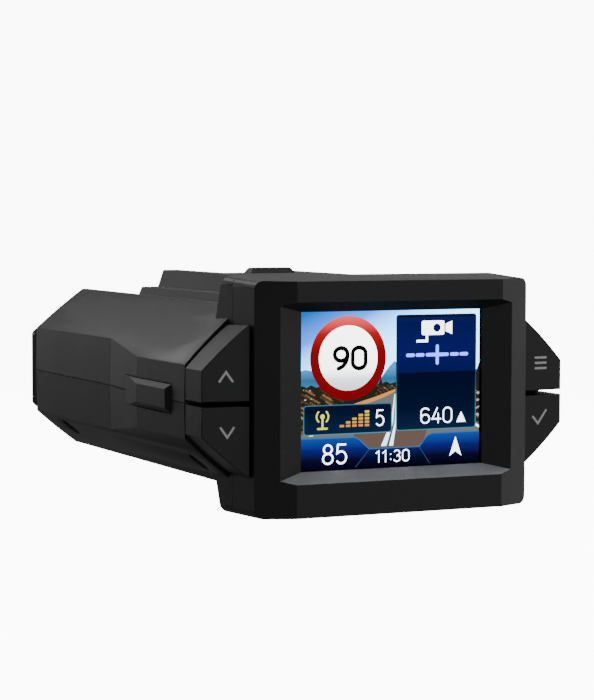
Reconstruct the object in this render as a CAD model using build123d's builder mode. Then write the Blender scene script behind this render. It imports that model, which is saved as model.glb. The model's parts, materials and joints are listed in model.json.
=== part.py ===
"""Radar detector with a display head, hung from a windscreen bracket.

+X is the driver's right, +Y points at the road and +Z is up. The origin is the middle of the
bracket channel's floor, on top of the case. Lengths are millimetres. The helper planes below
count y from the front of the display bezel and z from the level between the upper and lower keys.
"""
from build123d import *
import os

os.makedirs("parts", exist_ok=True)

# ---------------------------------------------------------------- driving dimensions
DOCK_Y = 81.5            # middle of the bracket channel, from the bezel's front
DOCK_FLOOR = 19.7        # channel floor, above the level between the keys
PARTING = -0.3           # joint between the two case halves
WALL = 1.8               # moulded walls
FIT = 0.1                # gap between fixed mouldings
SHAFT_FIT = 0.05         # radial clearance of a key's stem in its bore

# display head
HEAD_HALF = 30.41        # half width at the front
HEAD_TOP = 23.88
HEAD_BOTTOM = -22.5
SIDE_DRAFT = 0.0545      # growth of the outline for each mm towards the road
TOP_DRAFT = 0.044
BOTTOM_DRAFT = 0.02
HEAD_CORNER = 1.7
FACET_HALF = 23.0        # half width of the flat middle of the face
FACET_SWEEP = 0.459      # slope of the two outer facets
SEAM_Y = 12.8            # joint between bezel and collar
COLLAR_TIP_Y = 20.3      # rearmost point of the collar, where it meets the case
COLLAR_TIP_Z = 16.5
COLLAR_LEAN = 0.35       # slope of the collar's rear face

# screen
SCREEN_HALF = 20.4
SCREEN_TOP = 17.76
SCREEN_BOTTOM = -13.81
SCREEN_Y = 3.75
RECESS_SIDE = 2.347      # widening of the recess for each mm towards the driver
RECESS_TOP = 0.541
RECESS_BOTTOM = 0.536
LIP = 0.3                # rim in front of the window
WINDOW_Y = SCREEN_Y + LIP
WINDOW_SHEET = 0.8
WINDOW_MARGIN = 1.6      # how far the window reaches behind the bezel
LCD_Y = WINDOW_Y + WINDOW_SHEET + 0.05
LCD_THICK = 2.05
LCD_MARGIN = 3.0
FRAME_Y = LCD_Y + LCD_THICK + 0.05
FRAME_FRONT = 5.7        # front edge of the frame's rim
FRAME_SHEET = 0.8
FRAME_MARGIN = 3.6
DISPLAY_BOARD_Y = 7.9
DISPLAY_BOARD = (48.6, 39.0)
DISPLAY_TABS = (56.0, 6.0)
DISPLAY_SHEET = 1.2
DISPLAY_CHIPS = [(-12, 8), (10, 6)]
CHIP_SIDE = 9.0
CHIP_HIGH = 1.3
RIBBON_SOCKET = (16.0, 4.4)
SOCKET_Z = -6.5
BEZEL_POST_R = 2.1
BEZEL_POST_END = 11.2
BEZEL_PILOT = 4.2        # depth of the pilot holes
DISPLAY_POST_R = 1.9
DISPLAY_PILOT = 2.9
BEYOND = 35.0            # a distance past the sides of the head

# case
CASE_FRONT = 14.8
CASE_REAR = 113.6
CASE_WIDE = 40.64        # half width beside the head
CASE_NARROW = 38.0       # half width towards the road
WIDE_END = 40.9
NARROW_START = 63.4
DRAFT = 1.0              # degrees that the side walls lean in, away from the parting
SEAM_HALF = 0.1          # half the height of the groove along the parting
SEAM_DEPTH = 0.5
SECTION_HALF = 41.5      # where the chamfers of the section are taken before the sides are cut
RIDGE_FRONT = 28.2       # half distance between the upper ridges, front and rear
RIDGE_REAR = 26.3
RIDGE_Z = 18.8
SHOULDER_FRONT = 6.25    # foot of the upper chamfer at the section's edge
SHOULDER_REAR = 6.3
RIDGE_RIM = 1.0
ROOF_Z = 17.0            # sunken field between the ridges
ROOF_SLOPE = 2.6
KEEL_HALF = 28.1
KEEL_Z = -17.83
KEEL_SHOULDER = -6.45
CROWN = 0.35             # how far a chamfer bulges
FRONT_OPENING = (44.0, 27.0)
WINDOW_THICK = 4.4
WINDOW_EDGE = [(0, 16.2), (27.8, 16.2), (37.65, 8.4), (37.65, -8.5), (27.7, -16.7), (0, -16.7)]
PLUG_DEEP = 2.4          # rim of the window that reaches into the case
PLUG_POCKET = (64.0, 27.0)
LASER = (27.3, 2.0)      # laser receiver, as X and height
LASER_LENS_R = 4.25

# keys
KEY_REAR = 14.15
KEY_FRONT_IN = 4.76
KEY_FRONT_OUT = 6.0
KEY_IN_FRONT = 30.85     # inner edge, beside the head
KEY_IN_REAR = 31.35
KEY_SLIT = 0.48          # half the gap between upper and lower key
KEY_ROOT = 30.5          # where the slope of a key's section ends
KEY_SHOULDER_UP = 6.65
KEY_SHOULDER_DOWN = 6.35
KEY_SLOPE_UP = 0.915     # rise of the upper keys towards the head
KEY_SLOPE_DOWN = 0.858
KEY_STEM = (35.6, 4.4)
STEMS = [(sx * KEY_STEM[0], sz * KEY_STEM[1]) for sx in (-1, 1) for sz in (-1, 1)]
KEY_STEM_R = 1.5
KEY_STEM_END = 16.75
KEY_BARB_R = 1.9         # snap barb that keeps the stem behind the wall
KEY_BOARD_Y = 18.6
SIDE_KEY_FACE = 41.6
SIDE_KEY_HALF = 2.95
SIDE_KEY_FRONT = 21.8
SIDE_KEY_FOLD = 38.8
SIDE_KEY_REAR = 49.3

# bracket dock
RAIL_IN = 9.4
RAIL_OUT = 13.0
RAIL_FOOT = 14.35
STEP_TOP_HALF = 17.4
STEP_FOOT_HALF = 18.6
RAIL_TOP = 23.65
LIP_UNDER = 21.9
SLOT_HALF = 11.0
CHANNEL_START = 68.0
DOCK_REAR = 95.0         # rear end of the rails
STEP_REAR = 97.4         # rear end of the step under them
BUTTON_Y = 63.5
BUTTON_DEEP = 2.0        # half its length along Y
BUTTON_HALF = 5.4
BUTTON_TOP_HALF = 4.65
BUTTON_TOP = 24.85
BUTTON_LEAN = 0.8        # how far the button's front and rear lean in above the rails
TOOTH_Y = 87.0
LATCH_TRAVEL = 1.3
CONTACTS = (-6, -2, 2, 6)
PLATE_TOP = 18.4
PLATE_FRONT = 60.7
PLATE_REAR = 90.6
PLATE_THICK = 1.5

# screws, shank radius 0.98 in pilot holes of radius 1.0
SHANK_R = 0.98
PILOT_R = 1.0
SCREW_BORE_R = 1.1       # clearance hole for a screw
HEAD_R = 1.8
HEAD_HIGH = 1.3
DRIVE_R = 0.55           # recess in a screw's head
CASE_POST_R = 2.6        # posts and wells for the screws
CASE_POST_TOP = 8.8
CASE_PILOT_TOP = 6.5
WELL_R = 3.1
WELL_BORE_R = 2.1
BOARD_PILOT_LOW = -12.5
COLLAR_POST_R = 2.2
COLLAR_POST_FRONT = 10.6
BEZEL_SEAT = 13.2        # head seat of the bezel screws
CASE_SCREWS = [(34.0, 23.2), (-34.0, 23.2), (34.5, 98.6), (-34.5, 98.6)]
BOARD_SCREWS = [(25.5, 27.0), (-25.5, 27.0), (25.5, 94.0), (-25.5, 94.0)]
BEZEL_SCREWS = [(26.9, 15.0), (-26.9, 15.0), (26.9, -13.5), (-26.9, -13.5)]
DISPLAY_SCREWS = [(26.0, 4.0), (-26.0, 4.0)]
COLLAR_SCREWS = [(25.5, 7.0), (-25.5, 7.0), (25.5, -7.0), (-25.5, -7.0)]
DOCK_SCREWS = [(11.6, 30.0), (-11.6, 30.0), (15.6, 90.0), (-15.6, 90.0)]
SCREW_SEAT = -4.0        # head seat of the case screws
BOARD_TOP = -2.0
BOARD_THICK = 1.6


# ---------------------------------------------------------------- helpers
def across(y):
    """Upright plane facing the driver at y; its axes are X and z."""
    return Plane(origin=(0, y - DOCK_Y, -DOCK_FLOOR), x_dir=(1, 0, 0), z_dir=(0, -1, 0))


def level(z):
    """Horizontal plane at z; its axes are X and distance behind the bezel's front."""
    return Plane(origin=(0, -DOCK_Y, z - DOCK_FLOOR))


def beside(x):
    """Upright plane along the device at x, facing +X; its axes are y and z."""
    return Plane(origin=(x, -DOCK_Y, -DOCK_FLOOR), x_dir=(0, 1, 0), z_dir=(1, 0, 0))


def head_block(front, back, wall=0.0, mode=Mode.ADD):
    """Drafted block with the head's outline, drawn in by a wall."""
    sections = []
    for y in (front, back):
        half = HEAD_HALF + SIDE_DRAFT * y - wall
        top = HEAD_TOP + TOP_DRAFT * y - wall
        bottom = HEAD_BOTTOM - BOTTOM_DRAFT * y + wall
        with BuildSketch(across(y)) as section:
            with Locations((0, (top + bottom) / 2)):
                RectangleRounded(2 * half, top - bottom, HEAD_CORNER - wall / 2)
        sections.append(section.sketch)
    loft(sections, mode=mode)


def recess_outline(y):
    """Outline of the screen recess at y."""
    ahead = SCREEN_Y - y
    half = SCREEN_HALF + RECESS_SIDE * ahead
    top = SCREEN_TOP + RECESS_TOP * ahead
    bottom = SCREEN_BOTTOM - RECESS_BOTTOM * ahead
    with BuildSketch(across(y)) as section:
        with Locations((0, (top + bottom) / 2)):
            Rectangle(2 * half, top - bottom)
    return section.sketch


def screen_box(margin, front, back, mode=Mode.ADD):
    """Flat block behind the screen opening, larger than it by a margin on each side."""
    with BuildSketch(across(front)) as section:
        with Locations((0, (SCREEN_TOP + SCREEN_BOTTOM) / 2)):
            Rectangle(2 * (SCREEN_HALF + margin), SCREEN_TOP - SCREEN_BOTTOM + 2 * margin)
    extrude(section.sketch, amount=front - back, mode=mode)


def along(t, start, end):
    """Value between start at the case's front and end at its rear."""
    return start + (end - start) * (t - CASE_FRONT) / (CASE_REAR - CASE_FRONT)


def upper_outline(y):
    """Section of the upper half of the case."""
    ridge = along(y, RIDGE_FRONT, RIDGE_REAR)
    shoulder = along(y, SHOULDER_FRONT, SHOULDER_REAR)
    middle = ((SECTION_HALF + ridge) / 2 + CROWN * 0.7, (shoulder + RIDGE_Z) / 2 + CROWN * 0.7)
    inner = ridge - RIDGE_RIM
    with BuildLine() as outline:
        Polyline((0, PARTING), (SECTION_HALF, PARTING), (SECTION_HALF, shoulder))
        ThreePointArc((SECTION_HALF, shoulder), middle, (ridge, RIDGE_Z))
        Polyline((ridge, RIDGE_Z), (inner, RIDGE_Z), (inner - ROOF_SLOPE, ROOF_Z), (0, ROOF_Z))
        mirror(about=Plane.YZ)
    make_face(outline.edges())


def lower_outline():
    """Section of the lower half of the case."""
    middle = ((SECTION_HALF + KEEL_HALF) / 2 + CROWN * 0.7, (KEEL_SHOULDER + KEEL_Z) / 2 - CROWN * 0.7)
    with BuildLine() as outline:
        Polyline((0, PARTING), (SECTION_HALF, PARTING), (SECTION_HALF, KEEL_SHOULDER))
        ThreePointArc((SECTION_HALF, KEEL_SHOULDER), middle, (KEEL_HALF, KEEL_Z))
        Line((KEEL_HALF, KEEL_Z), (0, KEEL_Z))
        mirror(about=Plane.YZ)
    make_face(outline.edges())


def case_plan(inset, front, back, z):
    """Outline of the case seen from above, drawn in by a wall."""
    wide = CASE_WIDE - inset
    narrow = CASE_NARROW - inset
    with BuildSketch(level(z)) as plan:
        with BuildLine():
            Polyline((0, front), (wide, front), (wide, WIDE_END), (narrow, NARROW_START),
                     (narrow, back), (0, back))
            mirror(about=Plane.YZ)
        make_face()
    return plan.sketch


def side_cut(reach):
    """Cut the sides to the case's plan, leaning in towards the end of the reach from the parting."""
    plan = case_plan(0, CASE_FRONT - 10, CASE_REAR + 10, PARTING)
    extrude(plan, amount=reach, taper=DRAFT, mode=Mode.INTERSECT)


def posts(places, radius, bottom, top, mode=Mode.ADD):
    """Upright round posts or bores."""
    with BuildSketch(level(bottom)) as section:
        with Locations(*places):
            Circle(radius)
    extrude(section.sketch, amount=top - bottom, mode=mode)


def pegs(places, radius, front, back, mode=Mode.ADD):
    """Round pegs or bores along Y."""
    with BuildSketch(across(front)) as section:
        with Locations(*places):
            Circle(radius)
    extrude(section.sketch, amount=front - back, mode=mode)


def block(low, high, mode=Mode.ADD):
    """Box between two corners, given as x, y and z."""
    size = [high[i] - low[i] for i in range(3)]
    middle = [(high[i] + low[i]) / 2 for i in range(3)]
    with BuildSketch(level(low[2])) as section:
        with Locations((middle[0], middle[1])):
            Rectangle(size[0], size[1])
    extrude(section.sketch, amount=size[2], mode=mode)


def save(piece, name):
    """Label a finished piece and write it."""
    piece.part.label = name
    export_step(piece.part, f"parts/{name}.step")


# ---------------------------------------------------------------- display head
with BuildPart() as front_bezel:
    head_block(-0.5, SEAM_Y)
    outer_y = FACET_SWEEP * (BEYOND - FACET_HALF)
    with BuildSketch(level(-BEYOND)):
        with BuildLine():
            Polyline((0, 0), (FACET_HALF, 0), (BEYOND, outer_y), (BEYOND, -2), (0, -2))
            mirror(about=Plane.YZ)
        make_face()
    extrude(amount=2 * BEYOND, mode=Mode.SUBTRACT)
    loft([recess_outline(-0.5), recess_outline(SCREEN_Y)], mode=Mode.SUBTRACT)
    screen_box(0, SCREEN_Y - 0.5, SCREEN_Y + WALL + 2, Mode.SUBTRACT)
    screen_box(WINDOW_MARGIN + FIT, WINDOW_Y, SCREEN_Y + WALL + 2, Mode.SUBTRACT)
    screen_box(LCD_MARGIN + 2 * FIT, LCD_Y, SCREEN_Y + WALL + 2, Mode.SUBTRACT)
    head_block(SCREEN_Y + WALL, SEAM_Y + 1, WALL, Mode.SUBTRACT)
    pegs(BEZEL_SCREWS, BEZEL_POST_R, SCREEN_Y + WALL, BEZEL_POST_END)
    pegs(BEZEL_SCREWS, PILOT_R, BEZEL_POST_END - BEZEL_PILOT, BEZEL_POST_END, Mode.SUBTRACT)
    pegs(DISPLAY_SCREWS, DISPLAY_POST_R, SCREEN_Y + WALL, DISPLAY_BOARD_Y)
    pegs(DISPLAY_SCREWS, PILOT_R, DISPLAY_BOARD_Y - DISPLAY_PILOT, DISPLAY_BOARD_Y, Mode.SUBTRACT)
save(front_bezel, "front_bezel")

with BuildPart() as display_window:
    screen_box(WINDOW_MARGIN, WINDOW_Y, WINDOW_Y + WINDOW_SHEET)
save(display_window, "display_window")

with BuildPart() as lcd_panel:
    screen_box(LCD_MARGIN, LCD_Y, LCD_Y + LCD_THICK)
save(lcd_panel, "lcd_panel")

with BuildPart() as lcd_frame:
    screen_box(FRAME_MARGIN, FRAME_FRONT, FRAME_Y + FRAME_SHEET)
    screen_box(LCD_MARGIN + 0.05, FRAME_FRONT - 1, FRAME_Y, Mode.SUBTRACT)
    screen_box(WINDOW_MARGIN, FRAME_Y - 1, FRAME_Y + FRAME_SHEET + 1, Mode.SUBTRACT)
save(lcd_frame, "lcd_frame")

with BuildPart() as display_board:
    with BuildSketch(across(DISPLAY_BOARD_Y)):
        with Locations((0, 1.0)):
            Rectangle(*DISPLAY_BOARD)
        with Locations((0, DISPLAY_SCREWS[0][1])):
            Rectangle(*DISPLAY_TABS)
        with Locations(*DISPLAY_SCREWS):
            Circle(SCREW_BORE_R, mode=Mode.SUBTRACT)
    extrude(amount=-DISPLAY_SHEET)
    with BuildSketch(across(DISPLAY_BOARD_Y + DISPLAY_SHEET)):
        with Locations(*DISPLAY_CHIPS):
            Rectangle(CHIP_SIDE, CHIP_SIDE)
        with Locations((0, SOCKET_Z)):
            Rectangle(*RIBBON_SOCKET)
    extrude(amount=-CHIP_HIGH)
save(display_board, "display_board")


# ---------------------------------------------------------------- case
with BuildPart() as upper_blank:
    for y in (CASE_FRONT, CASE_REAR):
        with BuildSketch(across(y)):
            upper_outline(y)
    loft(ruled=True)
    side_cut(25)

with BuildPart() as lower_blank:
    with BuildSketch(across(CASE_FRONT)):
        lower_outline()
    extrude(amount=CASE_FRONT - CASE_REAR)
    side_cut(-25)

INNER_FRONT = CASE_FRONT + 1.6
CHAMFER_DROP = 2.42      # height taken off a chamfer by one wall
INNER_ROOF = ROOF_Z - WALL
INNER_KEEL = KEEL_Z + WALL


def cavity_outline(y):
    """Section of the room inside both shells."""
    ridge = along(y, RIDGE_FRONT, RIDGE_REAR) + 1.3
    shoulder = along(y, SHOULDER_FRONT, SHOULDER_REAR) - CHAMFER_DROP
    with BuildLine() as outline:
        Polyline((0, INNER_ROOF), (ridge, INNER_ROOF), (SECTION_HALF, shoulder),
                 (SECTION_HALF, KEEL_SHOULDER + CHAMFER_DROP), (KEEL_HALF - 0.7, INNER_KEEL),
                 (0, INNER_KEEL))
        mirror(about=Plane.YZ)
    make_face(outline.edges())


with BuildPart() as cavity:
    for y in (INNER_FRONT, CASE_REAR + 1):
        with BuildSketch(across(y)):
            cavity_outline(y)
    loft(ruled=True)
    extrude(case_plan(WALL, INNER_FRONT, CASE_REAR + 1, -25), amount=50, mode=Mode.INTERSECT)

with BuildPart() as seam_groove:
    extrude(case_plan(-1, CASE_FRONT - 1, CASE_REAR + 1, PARTING - SEAM_HALF), amount=2 * SEAM_HALF)
    core = case_plan(SEAM_DEPTH, CASE_FRONT - 2, CASE_REAR + 2, PARTING - SEAM_HALF)
    extrude(core, amount=2 * SEAM_HALF, mode=Mode.SUBTRACT)

SIDE_KEY_LOW = (-CASE_WIDE - 2, SIDE_KEY_FRONT - 0.15, -SIDE_KEY_HALF - 0.15)
SIDE_KEY_HIGH = (-CASE_NARROW + WALL + 0.5, SIDE_KEY_REAR + 0.3, SIDE_KEY_HALF + 0.15)
USB_LOW = (30.0, 72.0, BOARD_TOP)
USB_HIGH = (37.9, 79.7, 1.9)


def shell_openings():
    """Front passage, key bores, side key and service port, cut in both shells."""
    with BuildSketch(across(CASE_FRONT - 1)) as passage:
        with Locations((0, -0.5)):
            Rectangle(*FRONT_OPENING)
    extrude(passage.sketch, amount=-4, mode=Mode.SUBTRACT)
    pegs(STEMS, KEY_STEM_R + SHAFT_FIT, CASE_FRONT - 1, INNER_FRONT + 1, Mode.SUBTRACT)
    pegs(COLLAR_SCREWS, SCREW_BORE_R, CASE_FRONT - 1, INNER_FRONT + 1, Mode.SUBTRACT)
    block(SIDE_KEY_LOW, SIDE_KEY_HIGH, Mode.SUBTRACT)
    block((CASE_NARROW - WALL - 1, USB_LOW[1] - 0.1, USB_LOW[2] - 0.1),
          (CASE_NARROW + 1, USB_HIGH[1] + 0.1, USB_HIGH[2] + 0.1), Mode.SUBTRACT)


def key_board_ribs(low, high):
    """Pairs of ribs that hold the two key boards, between two heights."""
    for left in (-36.0, 33.5):
        for front in (KEY_BOARD_Y - 1.05, KEY_BOARD_Y + 1.05):
            block((left, front, low), (left + 2.5, front + 1.0, high))


LATCH_WINDOW = ((-8.0, 60.0, INNER_ROOF - 1), (8.0, 91.5, ROOF_Z + 1))
SPRING_Y = 71.0
CUP_FLOOR = 11.2
CUP_WALL = 1.2
CUP_HALF = 4.6           # room inside the spring's cup
CUP_DEEP = 3.3

with BuildPart() as upper_case:
    add(upper_blank.part)
    add(cavity.part, mode=Mode.SUBTRACT)
    posts(CASE_SCREWS, CASE_POST_R, PARTING, CASE_POST_TOP)
    posts(CASE_SCREWS, PILOT_R, -1, CASE_PILOT_TOP, Mode.SUBTRACT)
    block((-10.0, SPRING_Y - CUP_DEEP - CUP_WALL, CUP_FLOOR),
          (10.0, SPRING_Y + CUP_DEEP + CUP_WALL, INNER_ROOF + 0.5))
    block(*LATCH_WINDOW, Mode.SUBTRACT)
    block((-CUP_HALF, SPRING_Y - CUP_DEEP, CUP_FLOOR + CUP_WALL),
          (CUP_HALF, SPRING_Y + CUP_DEEP, ROOF_Z), Mode.SUBTRACT)
    posts(DOCK_SCREWS, SCREW_BORE_R, INNER_ROOF - 1, ROOF_Z + 1, Mode.SUBTRACT)
    key_board_ribs(7.4, 10.6)
    shell_openings()
    add(seam_groove.part, mode=Mode.SUBTRACT)
save(upper_case, "upper_case")

with BuildPart() as wells:
    posts(CASE_SCREWS, WELL_R, KEEL_Z, PARTING)
    add(lower_blank.part, mode=Mode.INTERSECT)

GRILLE_Y = 58.0
GRILLE_ROWS = 7
GRILLE_PITCH = 3.4
GRILLE_WIDE = 22.0
GRILLE_SLOT = 1.5
SPEAKER_R = 14.3
SPEAKER_RING = 4.5       # height of the ring that holds the speaker

with BuildPart() as lower_case:
    add(lower_blank.part)
    add(cavity.part, mode=Mode.SUBTRACT)
    add(wells.part)
    posts(CASE_SCREWS, WELL_BORE_R, KEEL_Z - 1, SCREW_SEAT, Mode.SUBTRACT)
    posts(CASE_SCREWS, SCREW_BORE_R, SCREW_SEAT - 1, 1, Mode.SUBTRACT)
    posts(BOARD_SCREWS, CASE_POST_R, INNER_KEEL - 0.5, BOARD_TOP - BOARD_THICK)
    posts(BOARD_SCREWS, PILOT_R, BOARD_PILOT_LOW, BOARD_TOP, Mode.SUBTRACT)
    with BuildSketch(level(INNER_KEEL - 0.5)):
        with Locations((0, GRILLE_Y)):
            Circle(SPEAKER_R + WALL - FIT)
            Circle(SPEAKER_R + FIT, mode=Mode.SUBTRACT)
    extrude(amount=SPEAKER_RING)
    with BuildSketch(level(KEEL_Z - 1)):
        with GridLocations(0, GRILLE_PITCH, 1, GRILLE_ROWS):
            with Locations((0, GRILLE_Y)):
                SlotOverall(GRILLE_WIDE, GRILLE_SLOT)
    extrude(amount=WALL + 2, mode=Mode.SUBTRACT)
    key_board_ribs(-10.4, -7.4)
    shell_openings()
    add(seam_groove.part, mode=Mode.SUBTRACT)
save(lower_case, "lower_case")

with BuildPart() as rear_window:
    with BuildSketch(across(CASE_REAR + FIT)) as window_face:
        with BuildLine():
            Polyline(*WINDOW_EDGE)
            mirror(about=Plane.YZ)
        make_face()
        fillet(window_face.vertices().filter_by(lambda v: abs(v.X) > CASE_NARROW - 1), 1.2)
    extrude(amount=-WINDOW_THICK)
    chamfer(rear_window.faces().sort_by(Axis.Y)[-1].edges(), 0.3)
    with BuildSketch(across(CASE_REAR + FIT)):
        cavity_outline(CASE_REAR)
        Rectangle(2 * (CASE_NARROW - WALL), 60, mode=Mode.INTERSECT)
        offset(amount=-0.15, kind=Kind.INTERSECTION, mode=Mode.REPLACE)
    extrude(amount=PLUG_DEEP)
    with BuildSketch(across(CASE_REAR - PLUG_DEEP - 1)):
        with Locations((0, -0.5)):
            Rectangle(*PLUG_POCKET)
    extrude(amount=-PLUG_DEEP - 1.7, mode=Mode.SUBTRACT)
    pegs([LASER], LASER_LENS_R + 0.05, CASE_REAR - PLUG_DEEP - 1, CASE_REAR + 2.2, Mode.SUBTRACT)
save(rear_window, "rear_window")

with BuildPart() as laser_lens:
    pegs([LASER], LASER_LENS_R, CASE_REAR + 0.4, CASE_REAR + 2.1)
    fillet(laser_lens.faces().sort_by(Axis.Y)[-1].edges(), 0.6)
save(laser_lens, "laser_lens")

with BuildPart() as head_collar:
    head_block(SEAM_Y + FIT, COLLAR_TIP_Y + 2)
    top_y = COLLAR_TIP_Y - COLLAR_LEAN * (BEYOND - COLLAR_TIP_Z)
    tip = (COLLAR_TIP_Y, COLLAR_TIP_Z)
    with BuildSketch(beside(-BEYOND)):
        with BuildLine():
            Polyline((0, BEYOND), (top_y, BEYOND), tip, (tip[0], -tip[1]), (top_y, -BEYOND),
                     (0, -BEYOND), close=True)
        make_face()
    extrude(amount=2 * BEYOND, mode=Mode.INTERSECT)
    add(upper_blank.part, mode=Mode.SUBTRACT)
    add(lower_blank.part, mode=Mode.SUBTRACT)
    with BuildSketch(across(SEAM_Y - 1)):
        with Locations((0, -0.5)):
            Rectangle(*FRONT_OPENING)
    extrude(amount=-4, mode=Mode.SUBTRACT)
    pegs(BEZEL_SCREWS, BEZEL_POST_R, BEZEL_POST_END + FIT, SEAM_Y + FIT)
    pegs(COLLAR_SCREWS, COLLAR_POST_R, COLLAR_POST_FRONT, SEAM_Y + FIT)
    pegs(COLLAR_SCREWS, PILOT_R, COLLAR_POST_FRONT, CASE_FRONT, Mode.SUBTRACT)
    pegs(BEZEL_SCREWS, SCREW_BORE_R, BEZEL_POST_END - FIT, CASE_FRONT, Mode.SUBTRACT)
    pegs(BEZEL_SCREWS, HEAD_R + FIT, BEZEL_SEAT, CASE_FRONT, Mode.SUBTRACT)
save(head_collar, "head_collar")


# ---------------------------------------------------------------- keys
def wing_key(side, up):
    """One of the four keys beside the head: side is -1 or 1, up is -1 or 1."""
    slope = KEY_SLOPE_UP if up > 0 else KEY_SLOPE_DOWN
    shoulder = KEY_SHOULDER_UP if up > 0 else KEY_SHOULDER_DOWN
    high = shoulder + slope * (CASE_WIDE - KEY_ROOT)
    middle = ((CASE_WIDE + KEY_ROOT) / 2 + CROWN * 0.6, (shoulder + high) / 2 + CROWN * 0.6)
    with BuildSketch(across(KEY_REAR)) as section:
        with BuildLine():
            Polyline((side * KEY_ROOT, up * KEY_SLIT), (side * CASE_WIDE, up * KEY_SLIT),
                     (side * CASE_WIDE, up * shoulder))
            ThreePointArc((side * CASE_WIDE, up * shoulder), (side * middle[0], up * middle[1]),
                          (side * KEY_ROOT, up * high))
            Line((side * KEY_ROOT, up * high), (side * KEY_ROOT, up * KEY_SLIT))
        make_face()
    extrude(section.sketch, amount=KEY_REAR - 3)
    with BuildSketch(level(-25)) as plan:
        with BuildLine():
            Polyline((side * KEY_IN_FRONT, KEY_FRONT_IN), (side * CASE_WIDE, KEY_FRONT_OUT),
                     (side * CASE_WIDE, KEY_REAR), (side * KEY_IN_REAR, KEY_REAR), close=True)
        make_face()
    extrude(plan.sketch, amount=50, mode=Mode.INTERSECT)


def finish_key(piece, side, up):
    """Round a key's inner corner and soften its front, then add the stem."""
    corner = piece.edges().filter_by(lambda e: e.length > 8 and abs(e.tangent_at(0.5).Y) > 0.9)
    by_height = corner.sort_by(Axis.Z)
    fillet(by_height[-1] if up > 0 else by_height[0], 0.25)
    fillet(piece.faces().sort_by(Axis.Y)[0].edges(), 0.2)
    place = (side * KEY_STEM[0], up * KEY_STEM[1])
    pegs([place], KEY_STEM_R, KEY_REAR, KEY_STEM_END)
    pegs([place], KEY_BARB_R, INNER_FRONT + FIT, KEY_STEM_END)


with BuildPart() as key_up:
    wing_key(-1, 1)
    finish_key(key_up, -1, 1)
save(key_up, "key_up")

with BuildPart() as key_down:
    wing_key(-1, -1)
    finish_key(key_down, -1, -1)
save(key_down, "key_down")

with BuildPart() as key_menu:
    wing_key(1, 1)
    finish_key(key_menu, 1, 1)
save(key_menu, "key_menu")

with BuildPart() as key_confirm:
    wing_key(1, -1)
    finish_key(key_confirm, 1, -1)
save(key_confirm, "key_confirm")

with BuildPart() as side_key:
    rise = SIDE_KEY_FACE - CASE_WIDE + 0.05
    middle_y = (SIDE_KEY_FRONT + SIDE_KEY_REAR + 3) / 2
    base = Plane(origin=(-CASE_WIDE + 0.05, middle_y - DOCK_Y, -DOCK_FLOOR), x_dir=(0, -1, 0),
                 z_dir=(-1, 0, 0))
    with BuildSketch(base):
        Rectangle(SIDE_KEY_REAR + 3 - SIDE_KEY_FRONT, 2 * SIDE_KEY_HALF)
    extrude(amount=rise, taper=44)
    block((-CASE_WIDE + 0.05, SIDE_KEY_FRONT, -SIDE_KEY_HALF), (-38.0, SIDE_KEY_REAR + 3, SIDE_KEY_HALF))
    with BuildSketch(level(-10)):
        with BuildLine():
            Polyline((-SIDE_KEY_FACE - 1, SIDE_KEY_FOLD), (-SIDE_KEY_FACE, SIDE_KEY_FOLD),
                     (-CASE_WIDE + 0.7, SIDE_KEY_REAR), (-CASE_WIDE + 4, SIDE_KEY_REAR),
                     (-CASE_WIDE + 4, SIDE_KEY_REAR + 5), (-SIDE_KEY_FACE - 1, SIDE_KEY_REAR + 5),
                     close=True)
        make_face()
    extrude(amount=20, mode=Mode.SUBTRACT)
    block((-CASE_WIDE + WALL + FIT, 27.0, -4.4), (-37.6, 41.0, 4.4))
    with BuildSketch(beside(-37.6)):
        with Locations((32.5, 0)):
            Circle(1.4)
    extrude(amount=2.1)
save(side_key, "side_key")


# ---------------------------------------------------------------- electronics
def key_board(side):
    """Small upright board behind one pair of keys."""
    with BuildSketch(across(KEY_BOARD_Y)) as section:
        with BuildLine():
            Polyline((side * 31.8, -9.2), (side * 34.4, -9.2), (side * 38.3, -5.8), (side * 38.3, 5.8),
                     (side * 34.4, 9.2), (side * 31.8, 9.2), close=True)
        make_face()
    extrude(section.sketch, amount=-1.0)


with BuildPart() as key_board_left:
    key_board(-1)
save(key_board_left, "key_board_left")

with BuildPart() as key_board_right:
    key_board(1)
save(key_board_right, "key_board_right")

with BuildPart() as key_switches:
    with BuildSketch(across(KEY_BOARD_Y - 1.4)):
        with Locations(*STEMS):
            RectangleRounded(4.6, 4.6, 0.4)
    extrude(amount=-1.4)
save(key_switches, "key_switches")

BOARD_HALF = 29.6

with BuildPart() as main_board:
    with BuildSketch(level(BOARD_TOP - BOARD_THICK)):
        with Locations((0, 62.0)):
            Rectangle(2 * BOARD_HALF, 84.0)
        with Locations((-32.0, 32.5)):
            Rectangle(6.0, 9.0)
        with Locations((31.5, 75.85)):
            Rectangle(7.0, 11.0)
        with Locations(*BOARD_SCREWS):
            Circle(SCREW_BORE_R, mode=Mode.SUBTRACT)
    extrude(amount=BOARD_THICK)
save(main_board, "main_board")

with BuildPart() as side_switch:
    block((-34.9, 29.4, BOARD_TOP), (-31.2, 35.6, 1.7))
save(side_switch, "side_switch")

with BuildPart() as shield_can:
    block((-17, 56.5, BOARD_TOP), (17, 78.5, BOARD_TOP + 4.2))
    fillet(shield_can.edges().filter_by(Axis.Z), 1.0)
    block((-16.7, 56.8, BOARD_TOP - 0.1), (16.7, 78.2, BOARD_TOP + 3.9), Mode.SUBTRACT)
save(shield_can, "shield_can")

HORN_Z = 5.9
HORN_THROAT = (81.0, 17.0, 9.4)      # y, width and height
HORN_MOUTH = (109.6, 45.0, 15.4)
HORN_WALL = 1.15

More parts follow.
